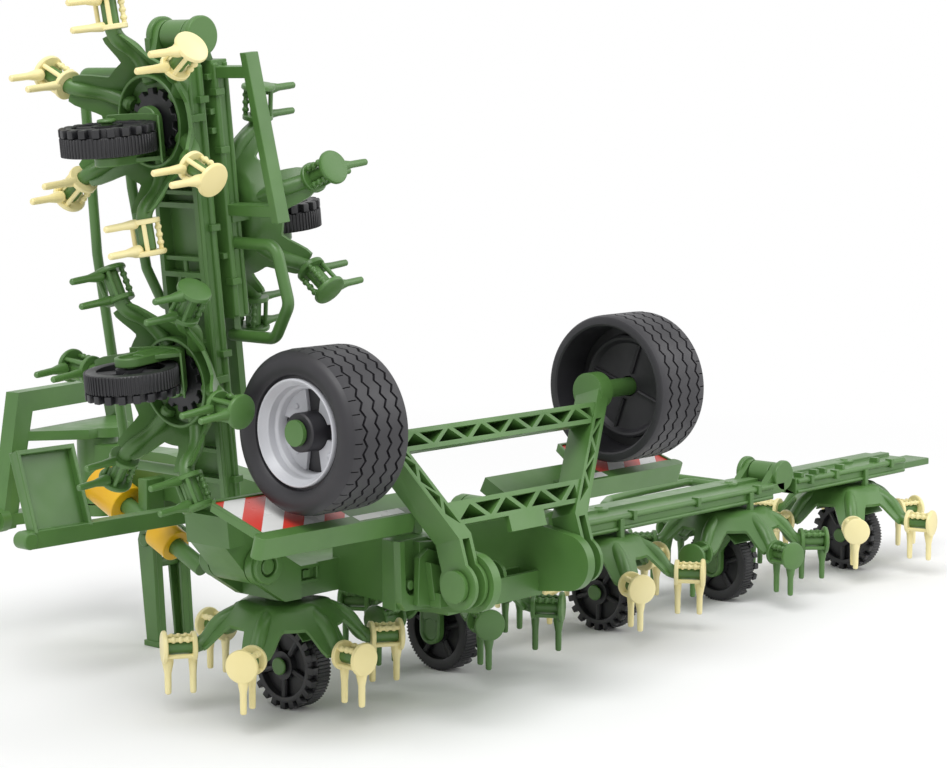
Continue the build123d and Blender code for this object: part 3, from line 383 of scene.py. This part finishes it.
# Ground wheels. Black low-gloss plastic: twenty blunt teeth round one edge, fine cross ribs on the
# tread beside them, dished sides with a hub ring and five spokes. They turn on the strut's axle.

# Polypropylene with carbon black: a soft black without sharp highlights.
black_plastic = moulded("black_plastic", "#212124", "#1B1B1E", 0.46)
wheel_r = 12.4
tread_r = 12.02
spoke_count = 5
spoke_reach = (3.6, 9.2)
spoke_r = 0.9
tooth_count = 20
rib_count = 72
wheel_profile = [(1.6, 0), (4.0, 0), (4.0, 2.0), (8.8, 2.2), (9.0, 0.2), (9.3, 0), (10.4, 0), (10.5, 0.2),
                 (10.5, 2.2), (11.7, 2.3), (12.05, 2.6), (12.05, 6.9), (11.7, 7.3), (9.4, 7.4), (9.0, 7.2),
                 (8.8, 5.2), (4.0, 5.4), (4.0, 7.4), (1.6, 7.4), (1.6, 0)]
for number, side in enumerate(sides, start=1):
    wheel = bmesh.new()
    turned(wheel, wheel_profile, (0, 0, 0), (0, 0, 1), 80)
    for base, rise in ((0.0, 2.2), (5.2, 2.0)):
        for k in range(spoke_count):
            spoke = Matrix.Rotation(2 * pi * k / spoke_count, 3, "Z")
            rod(wheel, [spoke @ Vector((r, 0, base + rise / 2)) for r in spoke_reach], spoke_r, segments=8)
    teeth = bmesh.new()
    tooth = bmesh.ops.create_cube(teeth, size=1.0)["verts"]
    bmesh.ops.scale(teeth, vec=(2.4, 2.0, 2.2), verts=tooth)
    bmesh.ops.translate(teeth, vec=(11.2, 0, 1.1), verts=tooth)
    bmesh.ops.bevel(teeth, geom=teeth.edges[:], offset=0.35, segments=2, affect="EDGES", profile=0.6)
    wheel.from_mesh(copies_round(teeth, f"tooth_pattern_{number}", tooth_count, 0.0, black_plastic))
    ribs = bmesh.new()
    rod(ribs, [(tread_r, 0, 2.4), (tread_r, 0, 7.2)], 0.36, segments=6)
    wheel.from_mesh(copies_round(ribs, f"rib_pattern_{number}", rib_count, 0.0, black_plastic))
    on_axle = Matrix.Translation((-0.7 * side, 0, wheel_r)) @ Matrix.Rotation(side * pi / 2, 4, "Y")
    finish(wheel, f"toothed_wheel_{number}", black_plastic, f"ground_wheel_{number}",
           unit_place(number) @ on_axle, [f"ground_wheel_{number}"])

# Mudguards. Each strut carries a thin curved apron close over the dome's side of its ground wheel,
# and a rimmed web beside it down to the axle, moulded in one with the strut in the same green plastic.
# An arc is given as inner and outer radius, its two edges along the axle, and its reach in degrees.
apron = (12.9, 13.5, -2.2, 9.8, 50)
web = (3.6, 13.3, 8.2, 9.4, 38)
arc_steps = 28
for number, side in enumerate(sides, start=1):
    guard = bmesh.new()
    for low_r, high_r, x_from, x_to, reach in (apron, web):
        ring = []
        for k in range(arc_steps + 1):
            turn = radians(-reach + 2 * reach * k / arc_steps)
            ring.append([guard.verts.new((side * x, r * sin(turn), wheel_r + r * cos(turn)))
                         for x, r in ((x_from, low_r), (x_to, low_r), (x_to, high_r), (x_from, high_r))])
        for near, far in zip(ring, ring[1:]):
            for k in range(4):
                guard.faces.new((near[k], near[k - 1], far[k - 1], far[k]))
        guard.faces.new(ring[0])
        guard.faces.new(ring[-1][::-1])
    finish(guard, f"mudguard_{number}", green_abs, frame["nodes"][f"strut_{number}"]["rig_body"],
           unit_place(number), bevel=0.25)

# Mouldings that keep the shape of their CAD node: the crown gears, struts, beams, rails, frame,
# chassis, drawbar, headstock, drive shaft and chassis ram. Each is a merged copy with the mould's
# soft edges, and stands for its node.


def soften(node, finish_of, width):
    """A merged copy of a CAD node with softly rounded edges stands for it."""
    copy = bmesh.new()
    copy.from_mesh(frame["nodes"][node].data)
    bmesh.ops.remove_doubles(copy, verts=copy.verts, dist=1e-6)
    bmesh.ops.dissolve_limit(copy, angle_limit=radians(1.0), verts=copy.verts, edges=copy.edges)
    bmesh.ops.recalc_face_normals(copy, faces=copy.faces)
    settle(copy, node + "_moulding", finish_of, frame["nodes"][node]["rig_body"], [node],
           smooth=30.0, bevel=width)


for number in range(1, 9):
    soften(f"gear_{number}", black_plastic, 0.2)
    soften(f"strut_{number}", green_abs, 0.35)
for node in ("wing_left", "wing_right", "tip_left", "tip_right", "wing_rails_left", "wing_rails_right",
             "main_frame", "chassis", "drawbar", "headstock", "drive_shaft"):
    soften(node, green_abs, 0.3)
soften("rams", green_abs, 0.3)

# Guards of the drive shaft: two short tubes of yellow plastic, pushed on the shaft beside the
# drawbar, one at each end.

# ABS from a polished mould: the brightest highlights on the machine, on a full warm yellow.
guard_yellow = moulded("yellow_guard_plastic", "#EBB916", "#E2AC10", 0.34)
soften("drive_guards", guard_yellow, 0.3)

# Front boards. Each is one green moulding: a level bar with a round end, and on it a square tray that
# leans forward, with a thin rim round a sunk field. Sizes are in millimetres from the machine's zero,
# on the floor under the middle of the cross beam; X runs to the right and Y to the headstock.
swivel_y, swivel_z = 121.0, 51.5
machine_zero = Vector(joint("headstock_swivel")["pos_m"]) - Vector((0, swivel_y / 1000, swivel_z / 1000))
machine_place = Matrix.Translation(machine_zero) @ in_metres


def on_side(outline, side):
    """An outline on the machine's right, 1, or mirrored to its left, -1."""
    return [(side * x, y) for x, y in outline]


def slab(mesh, outline, low, high):
    """A flat piece between two heights, from its outline."""
    floor_ring = [mesh.verts.new((x, y, low)) for x, y in outline]
    top_ring = [mesh.verts.new((x, y, high)) for x, y in outline]
    for k in range(len(outline)):
        mesh.faces.new((floor_ring[k - 1], floor_ring[k], top_ring[k], top_ring[k - 1]))
    mesh.faces.new(floor_ring[::-1])
    mesh.faces.new(top_ring)


def block(mesh, low, high, side=1):
    """A square block between two corners, on the right or mirrored to the left."""
    corners = [(low[0], low[1]), (high[0], low[1]), (high[0], high[1]), (low[0], high[1])]
    slab(mesh, on_side(corners, side), low[2], high[2])


def edging(mesh, outer, inner, side, low, high):
    """A thin rim between two lines that run alongside each other."""
    for a, b, c, d in zip(outer, outer[1:], inner[1:], inner):
        slab(mesh, on_side([a, b, c, d], side), low, high)


def add_part(whole, part, place):
    """Sets a part down in a larger mesh."""
    part.transform(place)
    data = bpy.data.meshes.new("part")
    part.to_mesh(data)
    part.free()
    whole.from_mesh(data)
    bpy.data.meshes.remove(data)


bar_low, bar_high = (4.0, 65.0, 41.8), (70.6, 69.5, 46.9)
bar_end_profile = [(0, -0.5), (2.2, -0.5), (2.5, -0.2), (2.5, 4.8), (2.2, 5.1), (0, 5.1)]
tray_line = [(48.3, -1.5), (48.3, 23.0), (69.4, 23.0), (69.4, -1.5)]
tray_inner_line = [(49.7, -1.5), (49.7, 21.6), (68.0, 21.6), (68.0, -1.5)]
tray_sheet, tray_rim = 1.4, 2.2
tray_lean = 19
tray_place = Matrix.Translation((0, 67.4, 46.9)) @ Matrix.Rotation(radians(90 - tray_lean), 4, "X")
boards = bmesh.new()
for side in (-1, 1):
    block(boards, bar_low, bar_high, side)
    turned(boards, bar_end_profile, (side * 70.9, 65.0, 44.3), (0, 1, 0), 28)
    panel = bmesh.new()
    slab(panel, on_side(tray_line, side), -tray_sheet, 0.0)
    edging(panel, tray_line, tray_inner_line, side, 0.0, tray_rim)
    add_part(boards, panel, tray_place)
finish(boards, "front_trays", green_abs, frame["nodes"]["front_boards"]["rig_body"], machine_place,
       ["front_boards"], bevel=0.3)

# Stand. Two tapered legs, each a plate with flanges that leave a sunk channel towards the middle, a
# pivot pin through the drawbar's lug, a round stay and two small feet; one green moulding.


def edge_on(side):
    """Turns a slab drawn in y and z on edge, so that its heights run out to one side."""
    return Matrix(((0, 0, side, 0), (1, 0, 0, 0), (0, 1, 0, 0), (0, 0, 0, 1)))


stand_pin_y, stand_pin_z = 90.0, 33.0
stay_y, stay_z = 89.0, 25.6
leg_plate = [(93.5, 33.0), (92.5, 35.6), (90.0, 36.6), (87.5, 35.6), (86.5, 33.0), (84.3, 1.4), (89.9, 1.4)]
leg_flanges = [
    [(93.4, 32.9), (89.8, 1.5), (88.7, 1.5), (92.1, 32.9)],
    [(86.6, 32.9), (87.9, 32.9), (85.5, 1.5), (84.4, 1.5)],
    [(93.3, 33.1), (92.4, 35.5), (90.0, 36.5), (87.6, 35.5), (86.7, 33.1), (86.8, 29.6), (92.9, 29.6)]]
pin_head_profile = [(0, 7.3), (2.0, 7.3), (2.0, 7.9), (1.7, 8.2), (0, 8.2)]
stand = bmesh.new()
for side in (-1, 1):
    leg = bmesh.new()
    slab(leg, leg_plate, 5.9, 7.4)
    for flange in leg_flanges:
        slab(leg, flange, 3.7, 6.0)
    add_part(stand, leg, edge_on(side))
    block(stand, (3.2, 83.6, 0), (7.9, 90.6, 1.8), side)
    turned(stand, pin_head_profile, (0, stand_pin_y, stand_pin_z), (side, 0, 0), 24)
for y, z, r in ((stand_pin_y, stand_pin_z, 1.75), (stay_y, stay_z, 1.5)):
    rod(stand, [(-5.4, y, z), (5.4, y, z)], r, ends=0)
finish(stand, "stand_legs", green_abs, frame["nodes"]["stand"]["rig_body"], machine_place,
       ["stand"], bevel=0.25)

# Frame fittings, moulded in one with the main frame: a bracket outside each cheek with a hooked slot
# and a pin, a round fin on the right one, the rings round the wing pins, and a framed pocket on each
# side of the cross beam.
wing_pin_x, wing_pin_z = 50.3, 44.0
bracket_bases = (
    ([(20.9, -36.0), (32.0, -36.0), (33.6, -42.4), (20.9, -42.4)], 33.4, 52.2),
    ([(20.9, -42.2), (24.6, -42.2), (24.6, -50.4), (20.9, -50.4)], 34.0, 38.0))
slot_x, slot_z, slot_r = 29.3, 40.1, 2.6
slot_end = [(slot_x - slot_r * cos(radians(t)), slot_z - slot_r * sin(radians(t))) for t in range(0, 181, 20)]
bracket_layers = (
    ([(34.3, 52.7), (33.7, 36.0), (32.0, 33.6), (20.8, 33.0), (20.8, 51.2), (26.6, 51.6), *slot_end,
      (32.4, 52.5)], 42.3, 44.8),
    ([(28.6, 47.6), (25.2, 49.8), (20.7, 48.4), (20.7, 33.6), (29.2, 34.8)], 44.7, 46.6),
    ([(26.4, 46.4), (20.6, 44.6), (20.6, 35.2), (24.8, 36.0)], 46.5, 48.6))
bracket_pin_profile = [(0, 0), (1.4, 0), (1.4, 1.8), (1.1, 2.1), (0, 2.1)]
fin_x, fin_y, fin_z, fin_r, fin_sheet = 33.4, -42.4, 46.6, 6.2, 1.5
fin_outline = [(fin_y - fin_r * sin(radians(t)), fin_z + fin_r * cos(radians(t))) for t in range(0, 181, 12)]
pin_ring_profile = [(2.9, -0.5), (4.7, -0.5), (4.9, 0.2), (4.9, 1.3), (4.7, 1.5), (3.1, 1.5), (2.9, 1.3),
                    (2.9, -0.5)]
pin_end_profile = [(0, -0.4), (2.3, -0.4), (2.3, 0.8), (2.0, 1.1), (0, 1.1)]
pocket_blocks = (
    ((29.9, -9.6, 41.2), (38.5, -8.3, 42.0)), ((29.9, -9.6, 37.0), (38.5, -8.3, 37.8)),
    ((29.9, -9.6, 37.8), (30.8, -8.3, 41.2)), ((37.6, -9.6, 37.8), (38.5, -8.3, 41.2)),
    ((33.0, -9.3, 38.4), (35.6, -8.3, 40.6)), ((41.0, -9.6, 36.4), (42.2, -8.3, 42.4)))
fittings = bmesh.new()
for side in (-1, 1):
    for outline, low, high in bracket_bases:
        slab(fittings, on_side(outline, side), low, high)
    upright = bmesh.new()
    for outline, low, high in bracket_layers:
        slab(upright, on_side(outline, side), low, high)
    add_part(fittings, upright, Matrix.Rotation(pi / 2, 4, "X"))
    turned(fittings, bracket_pin_profile, (side * slot_x, -42.3, 40.2), (0, -1, 0), 20)
    if side > 0:
        fin = bmesh.new()
        slab(fin, fin_outline, fin_x, fin_x + fin_sheet)
        add_part(fittings, fin, edge_on(side))
    for y, out in ((-10.0, -1), (10.0, 1)):
        turned(fittings, pin_ring_profile, (side * wing_pin_x, y, wing_pin_z), (0, out, 0), 36)
        turned(fittings, pin_end_profile, (side * wing_pin_x, y, wing_pin_z), (0, out, 0), 28)
    for low, high in pocket_blocks:
        block(fittings, low, high, side)
finish(fittings, "frame_fittings", green_abs, "main_frame", machine_place, bevel=0.25)

# Wing fittings, moulded in one with the beams: a rounded rail with collars along the rear edge, ribs
# over each rotor's pin, low bosses on top, rounded ears at the tip's pin, and, in the open channel
# below, cross ribs with a rod and a ring. They are drawn with both wings unfolded.
tip_pin_x, tip_pin_z = 193.2, 40.2
left_wing_up = radians(84.0)
rail_y = -8.5
boss_top_profile = [(0, 38.2), (3.2, 38.2), (3.2, 39.2), (2.9, 39.5), (1.4, 39.5), (1.3, 39.9), (0, 39.9)]
ear_profile = [(0, 0), (4.9, 0), (5.2, 0.3), (5.2, 1.7), (4.9, 2.0), (0, 2.0)]
channel_ring_profile = [(1.9, -0.8), (3.0, -0.8), (3.0, 0.8), (1.9, 0.8), (1.9, -0.8)]


def folded(place, pin, angle):
    """A place turned about a hinge pin that runs from front to rear."""
    to_pin = Matrix.Translation(pin)
    return place @ to_pin @ Matrix.Rotation(angle, 4, "Y") @ to_pin.inverted()


for hand, side in (("left", -1), ("right", 1)):
    wing_place = folded(machine_place, (side * wing_pin_x, 0, wing_pin_z), left_wing_up if side < 0 else 0.0)
    tip_place = folded(wing_place, (side * tip_pin_x, 0, tip_pin_z), pi if side < 0 else 0.0)
    for part, place, start, end, collars, pins in (
            ("wing", wing_place, 68.0, 186.0, (76.0, 110.0, 143.5, 177.0), (103.5, 172.5)),
            ("tip", tip_place, 200.5, 267.5, (208.0, 223.2, 258.0), (241.5,))):
        fitted = bmesh.new()
        for z, r, segments in ((37.4, 1.0, 14), (33.8, 0.7, 12)):
            rod(fitted, [(side * start, rail_y, z), (side * end, rail_y, z)], r, segments)
        for x in collars:
            block(fitted, (x - 0.9, -10.0, 35.8), (x + 0.9, -7.2, 38.9), side)
        for x in pins:
            block(fitted, (x - 1.0, -9.9, 30.6), (x + 1.0, -8.2, 37.0), side)
            turned(fitted, boss_top_profile, (side * x, 0, 0), (0, 0, 1), 32)
        if part == "tip":
            for x in (204.0, 213.0, 218.0, 229.0, 251.0):
                block(fitted, (x - 0.8, -8.4, 38.0), (x + 0.8, -5.0, 40.0), side)
        else:
            for y in (-8.4, 6.4):
                turned(fitted, ear_profile, (side * tip_pin_x, y, tip_pin_z), (0, 1, 0), 40)
                block(fitted, (184.6, y, 34.6), (tip_pin_x, y + 2.0, 38.0), side)
            for x in (84.0, 122.0, 135.5, 153.0):
                block(fitted, (x - 0.6, -7.2, 33.6), (x + 0.6, 7.2, 35.4), side)
            rod(fitted, [(side * 122.0, 0, 34.5), (side * 135.5, 0, 34.5)], 0.7, segments=10)
            turned(fitted, channel_ring_profile, (side * 129.0, 0, 34.5), (0, 0, 1), 32)
        finish(fitted, f"{part}_fittings_{hand}", green_abs, frame["nodes"][f"{part}_{hand}"]["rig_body"],
               place, bevel=0.2)

# Warning boards. Each is a green plastic tray with a thin rim and a deep round-ended bar along its
# rear edge. A vinyl sheet with diagonal red and white stripes lies in the tray; a pale strip runs on
# along the bar.
board_lean = radians(17.5)
board_rear_y, board_z = -0.044, 0.0612
board_place = (Matrix.Translation(machine_zero) @ Matrix.Translation((0, board_rear_y, board_z))
               @ Matrix.Rotation(board_lean, 4, "X") @ in_metres)

# Self-adhesive vinyl: flat, even colours with a sharper gloss than the plastic round them.
vinyl_red = moulded("vinyl_red", "#DE3B2B", "#D03224", 0.32, 0.01)
vinyl_white = moulded("vinyl_white", "#ECECEA", "#DDDEDD", 0.3, 0.01)
stripe_w = 7.4
first_stripes = {-1: -98.5, 1: 24.9}
tray_corners = [(50.5, 0), (84, 0), (84, 18.8), (82.6, 20.2), (54.0, 20.2), (50.5, 13.0)]
sheet_corners = [(51.3, 0.2), (83.1, 0.2), (83.1, 18.4), (82.2, 19.3), (54.5, 19.3), (51.3, 12.8)]
bar_end_x, bar_end_y, bar_end_r = 84.6, -1.4, 1.9
bar_end = [(bar_end_x + bar_end_r * cos(radians(turn)), bar_end_y + bar_end_r * sin(radians(turn)))
           for turn in range(-90, 91, 15)]
tray = bmesh.new()
sheet = bmesh.new()
strip = bmesh.new()
for side in first_stripes:
    slab(tray, on_side(tray_corners, side), -2.0, -0.1)
    edging(tray, tray_corners[1:], sheet_corners[1:], side, -0.1, 0.45)
    slab(tray, on_side([(30.0, -3.3), *bar_end, (30.0, 0.5)], side), -5.6, 0.3)
    block(strip, (34.0, -2.4, 0.3), (51.0, 0.3, 0.36), side)
    field = [sheet.verts.new((x, y, 0.02)) for x, y in on_side(sheet_corners, side)]
    sheet.faces.new(field if side > 0 else field[::-1])
for k in range(-2, 26):
    for side, first_stripe in first_stripes.items():
        cut = sheet.verts[:] + sheet.edges[:] + sheet.faces[:]
        at = first_stripe + stripe_w * k
        if -100 < at < 90 and side * at > 0:
            bmesh.ops.bisect_plane(sheet, geom=cut, plane_co=(at, 0, 0), plane_no=(1, -1, 0))
for face in sheet.faces:
    middle = face.calc_center_median()
    first_stripe = first_stripes[-1 if middle.x < 0 else 1]
    face.material_index = int((middle.x - middle.y - first_stripe) // stripe_w) % 2
finish(tray, "board_trays", green_abs, "main_frame", board_place, ["warning_boards"],
       bevel=0.3)
finish(sheet, "stripe_sheets", [vinyl_white, vinyl_red], "main_frame", board_place)
finish(strip, "bar_strips", vinyl_white, "main_frame", board_place)

# Transport tyres. Soft black plastic in one piece with the wheel's inner disc and hub: four zigzag
# grooves round the tread, short slits across the outer shoulder, a smooth bulging wall with a deep
# line at the rim, and an open drum on the inside.

# Soft PVC: a slightly brown black, duller than the ground wheels.
tyre_black = moulded("tyre_black", "#2A292D", "#242327", 0.5)
outer_wall = [(14.05, 8.4), (14.6, 8.3), (14.9, 9.2), (15.7, 9.9), (17.0, 10.4), (18.3, 10.5), (19.5, 10.25),
              (20.4, 9.6), (20.9, 8.9)]
shoulder = [(20.92, 8.88, 0, 0, 1), (21.2, 7.9, 0, 0, 1), (21.32, 6.6, 0.5, 0, 1), (21.33, 6.55, 0.5, 0, 0)]
groove_deep = 0.85
slit_deep = 0.75
zigzag_out = 0.62
drum_and_disc = [(21.3, -9.4), (20.9, -10.2), (20.3, -10.5), (18.9, -10.5), (18.4, -10.2), (18.2, -9.6),
                 (17.7, 1.1), (15.2, 1.2), (14.9, -1.0), (14.3, -1.2), (13.6, -1.0), (12.6, 0.2), (3.0, 0.3),
                 (3.0, 0.9), (3.0, 8.1), (4.7, 8.1), (5.1, 7.7), (5.1, 1.9), (11.4, 1.7), (13.9, 1.6),
                 (14.05, 8.4)]

# Each row of the tyre is its radius, its place along the axle, how much of the zigzag it follows, how
# deep its groove is, and whether the slits cut it.
tyre_rows = [(r, x, 0, 0, 0) for r, x in outer_wall] + shoulder
for middle in (5.6, 1.3, -3.0, -7.0):
    tyre_rows += [(21.42, middle + 0.42, 1, 0, 0), (21.4, middle + 0.3, 1, groove_deep, 0),
                  (21.4, middle - 0.3, 1, groove_deep, 0), (21.42, middle - 0.42, 1, 0, 0)]
tyre_rows += [(r, x, 0, 0, 0) for r, x in drum_and_disc]

# Over one zigzag: the share of its length, how far out the line is there, and whether a slit is open.
zigzag_count = 36
zigzag = ((0.0, 1.0, 0), (0.22, 0.12, 0), (0.235, 0.06, 1), (0.285, -0.14, 1), (0.3, -0.2, 0),
          (0.5, -1.0, 0), (0.75, 0.0, 0))


def wheel_place(hand):
    """Where a transport wheel stands at rest: its X is the axle, and points outwards."""
    place = Matrix.Translation(joint(f"wheel_{hand}_turn")["pos_m"]) @ in_metres
    return place @ Matrix.Rotation(pi, 4, "Z") if hand == "left" else place


for hand in ("left", "right"):
    tyre = bmesh.new()
    rings = []
    for period in range(zigzag_count):
        for share, out, slit in zigzag:
            turn = 2 * pi * (period + share) / zigzag_count
            ring = []
            for r, x, swerve, groove, slitted in tyre_rows:
                x += zigzag_out * out * swerve
                r -= max(groove, slit_deep * slit * slitted)
                ring.append(tyre.verts.new((x, r * sin(turn), r * cos(turn))))
            rings.append(ring)
    for k, ring in enumerate(rings):
        before = rings[k - 1]
        for j in range(len(tyre_rows) - 1):
            tyre.faces.new((before[j], ring[j], ring[j + 1], before[j + 1]))
    for turn in (20, 110, 200, 290):
        rib = Matrix.Rotation(radians(turn), 3, "X")
        rod(tyre, [rib @ Vector((-0.1, 0, r)) for r in (4.0, 13.2)], 0.5, segments=6)
    finish(tyre, f"tyre_with_hub_{hand}", tyre_black, f"wheel_{hand}", wheel_place(hand),
           [f"tyre_{hand}"], smooth=28.0)

# Rims. Dishes moulded in silver-grey plastic: a bright lip, two steps down into the barrel, and four
# petals round the black hub, each with a small stud.

# ABS with fine flake in the melt: pale silver grey, with a satin shine and no mirror image.
rim_silver = moulded("rim_silver", "#CBCCD1", "#C0C1C6", 0.34)
dish_profile = [(13.95, 8.4), (13.95, 9.2), (13.7, 9.6), (13.3, 9.5), (12.3, 7.6), (12.0, 7.3), (11.8, 5.2),
                (11.5, 5.0), (11.1, 4.8), (10.9, 4.4), (10.75, 2.3), (10.75, 1.8), (13.95, 1.8), (13.95, 8.4)]
stud_profile = [(0, 2.8), (0.75, 2.8), (0.7, 3.3), (0.4, 3.5), (0, 3.5)]
stud_r = 8.2
petal_outline = [(10.9, turn) for turn in range(-30, 31, 6)] + [(5.3, turn) for turn in range(24, -25, -6)]
for hand in ("left", "right"):
    rim = bmesh.new()
    turned(rim, dish_profile, (0, 0, 0), (1, 0, 0), 96)
    for k in range(4):
        middle = radians(45 + 90 * k)
        petal = bmesh.new()
        slab(petal, [(r * sin(middle + radians(t)), r * cos(middle + radians(t))) for r, t in petal_outline],
             1.75, 2.9)
        add_part(rim, petal, edge_on(1))
        turned(rim, stud_profile, (0, stud_r * sin(middle), stud_r * cos(middle)), (1, 0, 0), 16)
    finish(rim, f"rim_dish_{hand}", rim_silver, f"wheel_{hand}", wheel_place(hand),
           [f"rim_{hand}"], bevel=0.15)

# Studio: a plain pale floor that runs out to white, a white surround and two soft lamps. The camera
# stands where the photograph was taken from.
floor_reach = 12.0
floor_data = bpy.data.meshes.new("floor")
floor_corners = [(x * floor_reach, y * floor_reach, 0) for x, y in ((-1, -1), (1, -1), (1, 1), (-1, 1))]
floor_data.from_pydata(floor_corners, [], [(0, 1, 2, 3)])
put_in_scene("floor", floor_data)
paper = bpy.data.materials.new("pale_paper")
paper.use_nodes = True
tree = paper.node_tree
tree.nodes.clear()
where = add_node(tree, "ShaderNodeTexCoord").outputs["Object"]
# The paper runs out to white between 0.2 and 0.55 m from the middle.
distance = add_node(tree, "ShaderNodeVectorMath", {0: where}, operation="LENGTH")
fade = add_node(tree, "ShaderNodeMapRange", {
    "Value": distance.outputs["Value"], "From Min": 0.2, "From Max": 0.55})
matt = add_node(tree, "ShaderNodeBsdfDiffuse", {"Color": linear("#F4F4F4")})
glow = add_node(tree, "ShaderNodeEmission", {"Color": linear("#FFFFFF"), "Strength": 1.0})
blend = add_node(tree, "ShaderNodeMixShader", {
    0: fade.outputs["Result"], 1: matt.outputs[0], 2: glow.outputs[0]})
add_node(tree, "ShaderNodeOutputMaterial", {"Surface": blend.outputs[0]})
floor_data.materials.append(paper)

# The surround: full white where it is seen or mirrored, and a softer light on the object.
world = bpy.data.worlds.new("studio")
bpy.context.scene.world = world
world.use_nodes = True
tree = world.node_tree
tree.nodes.clear()
path = add_node(tree, "ShaderNodeLightPath")
seen = path.outputs["Is Camera Ray"]
for ray in ("Is Glossy Ray", "Is Transmission Ray"):
    seen = add_node(tree, "ShaderNodeMath", {0: seen, 1: path.outputs[ray]}, operation="MAXIMUM").outputs[0]
level = add_node(tree, "ShaderNodeMapRange", {"Value": seen, "To Min": 0.66, "To Max": 1.0})
surround = add_node(tree, "ShaderNodeBackground", {
    "Color": linear("#FFFFFF"), "Strength": level.outputs["Result"]})
add_node(tree, "ShaderNodeOutputWorld", {"Surface": surround.outputs[0]})

# Lamps are given by place, size in metres and power in watts; both face the machine's middle.
lit_point = Vector((0, 0, 0.08))
for name, at, size, power in (("key_lamp", (-0.9, -0.5, 1.5), 1.0, 17.5),
                              ("fill_lamp", (0.9, -1.0, 0.9), 1.2, 7.5)):
    lamp_data = bpy.data.lights.new(name, "AREA")
    lamp_data.size = size
    lamp_data.energy = power
    lamp = put_in_scene(name, lamp_data)
    lamp.location = at
    lamp.rotation_euler = (lit_point - Vector(at)).to_track_quat("-Z", "Y").to_euler()

# The camera's bearing and height above the level, in radians, and its place from the machine's zero.
swing, dip = -0.8356401, 0.1194072
camera_from_zero = Vector((-0.515935, -0.506677, 0.174899))
back = Vector((sin(swing) * cos(dip), -cos(swing) * cos(dip), sin(dip)))
right = Vector((cos(swing), sin(swing), 0))
stance = Matrix((right, back.cross(right), back)).transposed().to_4x4()
stance.translation = machine_zero + camera_from_zero
camera_data = bpy.data.cameras.new("camera")
camera_data.lens = 97.07
camera_data.sensor_width = 36.0
camera_data.clip_start = 0.01
camera = put_in_scene("camera", camera_data)
camera.matrix_world = stance
bpy.context.scene.camera = camera
bpy.context.scene.view_settings.view_transform = "Standard"
